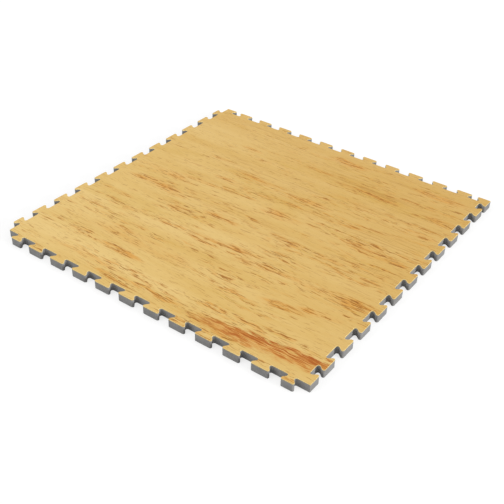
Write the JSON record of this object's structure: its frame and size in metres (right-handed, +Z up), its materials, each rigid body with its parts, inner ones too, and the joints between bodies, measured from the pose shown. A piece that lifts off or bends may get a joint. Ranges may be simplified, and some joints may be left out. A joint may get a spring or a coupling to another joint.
{
  "type": "interlocking sports floor tile",
  "caption": "Square foam sports floor tile with a wood-grain top sheet, dovetail tabs on two sides and matching notches on the other two.",
  "frame": {"origin": "centre of the underside of the tile, tabs included", "axes": "+Z up through the thickness, +X along the front side from the body corner of the tile, +Y along its left side"},
  "size_m": [1.0226, 1.0226, 0.024],
  "materials": {
    "foam": "matt grey closed-cell foam, cut edges with fine open cells",
    "grain_sheet": "satin embossed wood-grain sheet in warm tan with darker brown streaks"
  },
  "bodies": {
    "root": {"foam_base": "foam", "wood_grain_top": "grain_sheet"}
  },
  "joints": []
}
